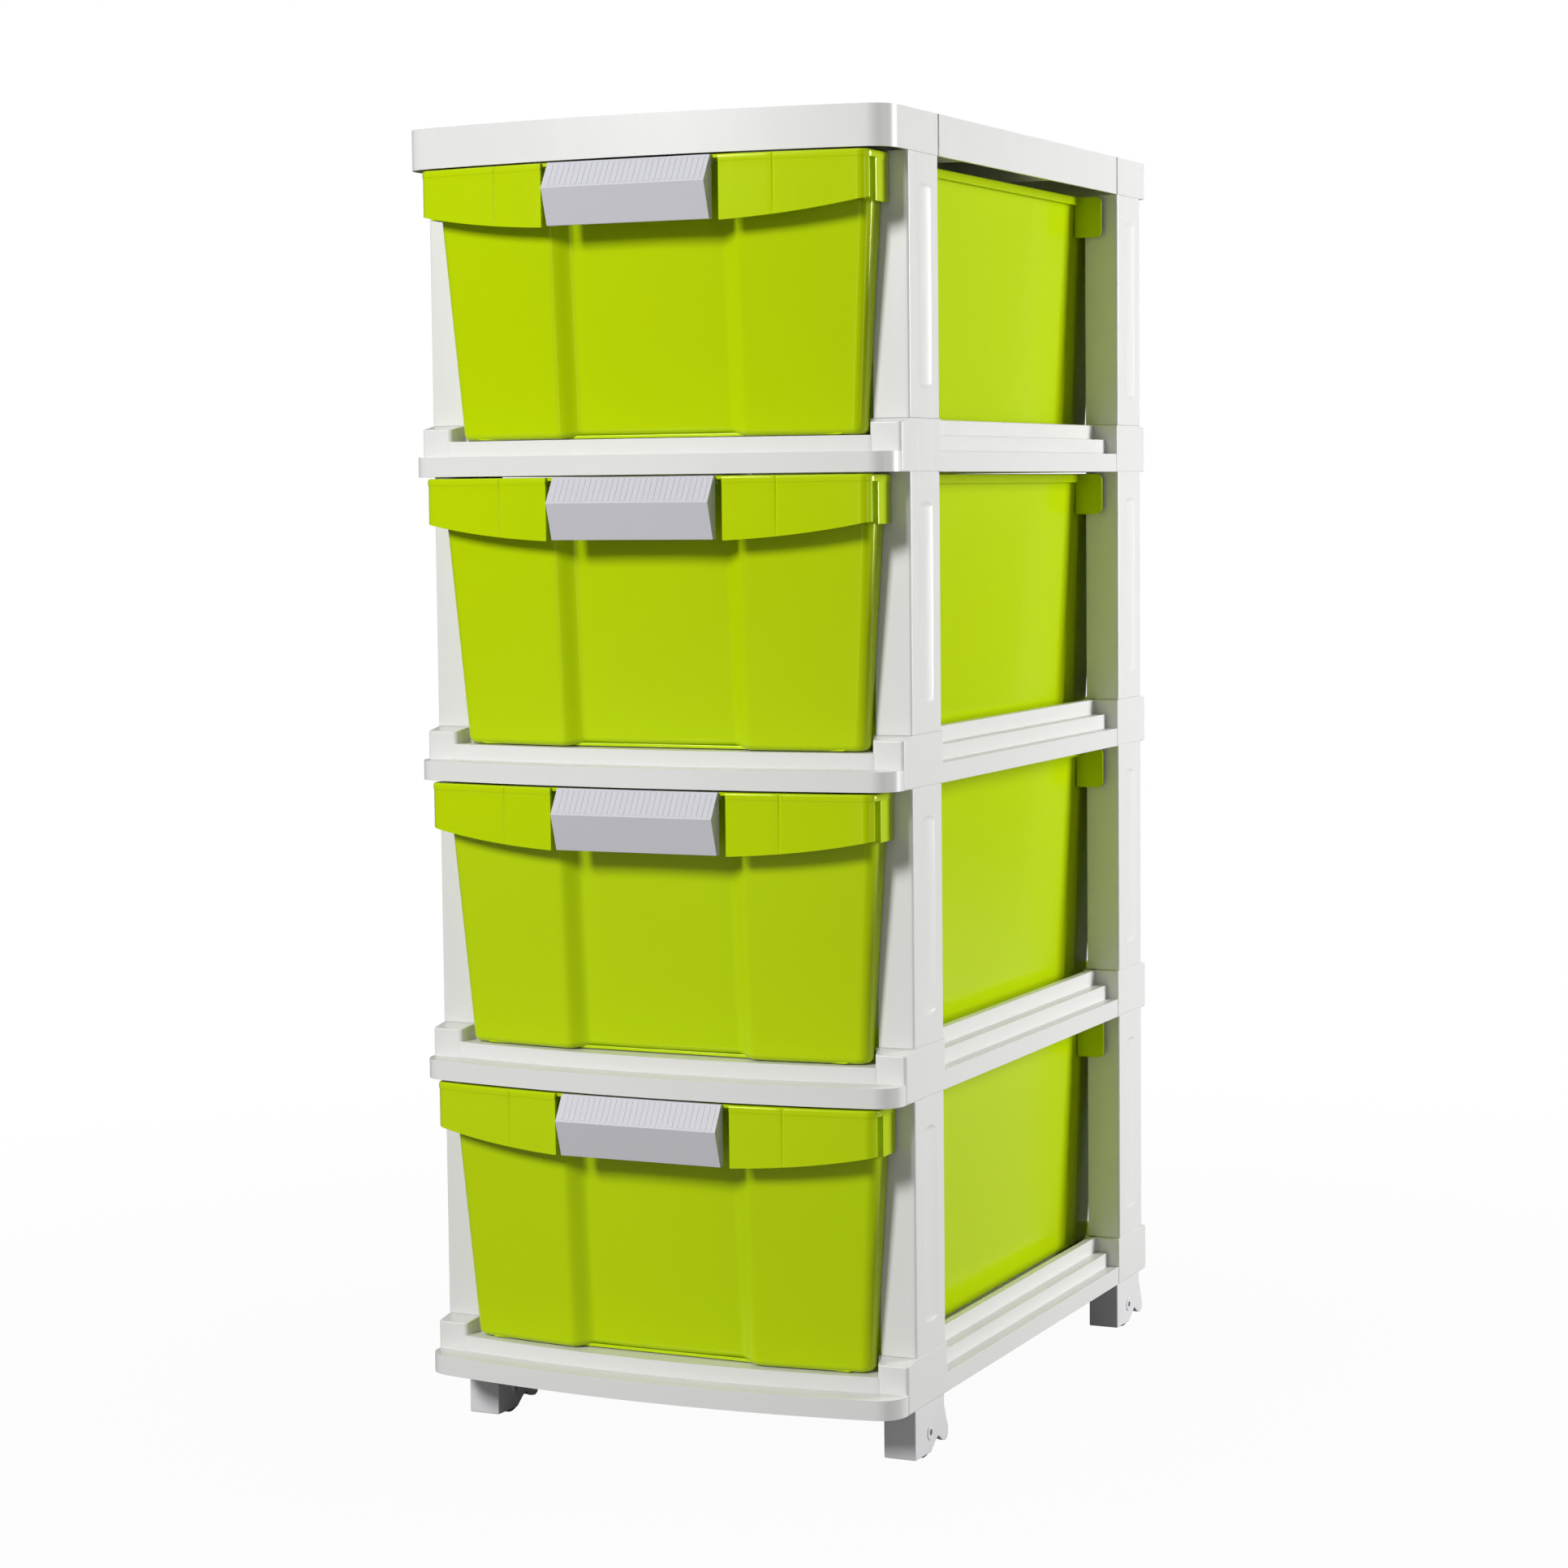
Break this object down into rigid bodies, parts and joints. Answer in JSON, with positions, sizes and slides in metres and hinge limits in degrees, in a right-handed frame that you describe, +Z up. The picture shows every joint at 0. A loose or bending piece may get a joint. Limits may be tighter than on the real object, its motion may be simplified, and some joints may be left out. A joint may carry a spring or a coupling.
{
  "type": "plastic drawer tower",
  "caption": "Upright rolling tower of deep tapered drawers that slide between bowed shelf frames on angle posts, with clip-on handles and hooded swivel casters.",
  "frame": {"origin": "on the floor, below the middle of the tower's bounding box", "axes": "+Z up, +X to the tower's right as seen from the drawers' side, -Y towards the user, the way that the drawers open"},
  "size_m": [0.386, 0.5874, 0.974],
  "materials": {
    "white_plastic": "satin moulded polypropylene",
    "green_plastic": "glossy moulded polypropylene",
    "grey_plastic": "satin moulded polypropylene",
    "caster_plastic": "satin moulded nylon",
    "wheel_rubber": "matt tread",
    "steel": "turned and plated"
  },
  "bodies": {
    "tower": {"top_board": "white_plastic", "base_frame": "white_plastic", "shelf_frame_1": "white_plastic", "shelf_frame_2": "white_plastic", "shelf_frame_3": "white_plastic", "post_1_front_left": "white_plastic", "post_1_front_right": "white_plastic", "post_1_rear_left": "white_plastic", "post_1_rear_right": "white_plastic", "post_2_front_left": "white_plastic", "post_2_front_right": "white_plastic", "post_2_rear_left": "white_plastic", "post_2_rear_right": "white_plastic", "post_3_front_left": "white_plastic", "post_3_front_right": "white_plastic", "post_3_rear_left": "white_plastic", "post_3_rear_right": "white_plastic", "post_4_front_left": "white_plastic", "post_4_front_right": "white_plastic", "post_4_rear_left": "white_plastic", "post_4_rear_right": "white_plastic", "caster_stem_front_left": "steel", "caster_stem_front_right": "steel", "caster_stem_rear_left": "steel", "caster_stem_rear_right": "steel"},
    "drawer_1": {"drawer_1": "green_plastic", "handle_1": "grey_plastic"},
    "drawer_2": {"drawer_2": "green_plastic", "handle_2": "grey_plastic"},
    "drawer_3": {"drawer_3": "green_plastic", "handle_3": "grey_plastic"},
    "drawer_4": {"drawer_4": "green_plastic", "handle_4": "grey_plastic"},
    "caster_swivel_front_left": {"caster_hood_front_left": "caster_plastic", "caster_axle_front_left": "steel"},
    "caster_roller_front_left": {"caster_wheel_front_left": "wheel_rubber"},
    "caster_swivel_front_right": {"caster_hood_front_right": "caster_plastic", "caster_axle_front_right": "steel"},
    "caster_roller_front_right": {"caster_wheel_front_right": "wheel_rubber"},
    "caster_swivel_rear_left": {"caster_hood_rear_left": "caster_plastic", "caster_axle_rear_left": "steel"},
    "caster_roller_rear_left": {"caster_wheel_rear_left": "wheel_rubber"},
    "caster_swivel_rear_right": {"caster_hood_rear_right": "caster_plastic", "caster_axle_rear_right": "steel"},
    "caster_roller_rear_right": {"caster_wheel_rear_right": "wheel_rubber"}
  },
  "joints": [
    {"name": "drawer_1_slide", "type": "slide", "parent": "tower", "child": "drawer_1", "axis": [0, -1, 0], "range_m": [0, 0.38]},
    {"name": "drawer_2_slide", "type": "slide", "parent": "tower", "child": "drawer_2", "axis": [0, -1, 0], "range_m": [0, 0.38]},
    {"name": "drawer_3_slide", "type": "slide", "parent": "tower", "child": "drawer_3", "axis": [0, -1, 0], "range_m": [0, 0.38]},
    {"name": "drawer_4_slide", "type": "slide", "parent": "tower", "child": "drawer_4", "axis": [0, -1, 0], "range_m": [0, 0.38]},
    {"name": "caster_swivel_front_left_turn", "type": "hinge", "parent": "tower", "child": "caster_swivel_front_left", "pos_m": [-0.1725, -0.2023, 0.045], "axis": [0, 0, 1], "continuous": true},
    {"name": "caster_roller_front_left_turn", "type": "hinge", "parent": "caster_swivel_front_left", "child": "caster_roller_front_left", "pos_m": [-0.1725, -0.1863, 0.019], "axis": [1, 0, 0], "continuous": true},
    {"name": "caster_swivel_front_right_turn", "type": "hinge", "parent": "tower", "child": "caster_swivel_front_right", "pos_m": [0.1725, -0.2023, 0.045], "axis": [0, 0, 1], "continuous": true},
    {"name": "caster_roller_front_right_turn", "type": "hinge", "parent": "caster_swivel_front_right", "child": "caster_roller_front_right", "pos_m": [0.1725, -0.1863, 0.019], "axis": [1, 0, 0], "continuous": true},
    {"name": "caster_swivel_rear_left_turn", "type": "hinge", "parent": "tower", "child": "caster_swivel_rear_left", "pos_m": [-0.1725, 0.2417, 0.045], "axis": [0, 0, 1], "continuous": true},
    {"name": "caster_roller_rear_left_turn", "type": "hinge", "parent": "caster_swivel_rear_left", "child": "caster_roller_rear_left", "pos_m": [-0.1725, 0.2577, 0.019], "axis": [1, 0, 0], "continuous": true},
    {"name": "caster_swivel_rear_right_turn", "type": "hinge", "parent": "tower", "child": "caster_swivel_rear_right", "pos_m": [0.1725, 0.2417, 0.045], "axis": [0, 0, 1], "continuous": true},
    {"name": "caster_roller_rear_right_turn", "type": "hinge", "parent": "caster_swivel_rear_right", "child": "caster_roller_rear_right", "pos_m": [0.1725, 0.2577, 0.019], "axis": [1, 0, 0], "continuous": true}
  ]
}
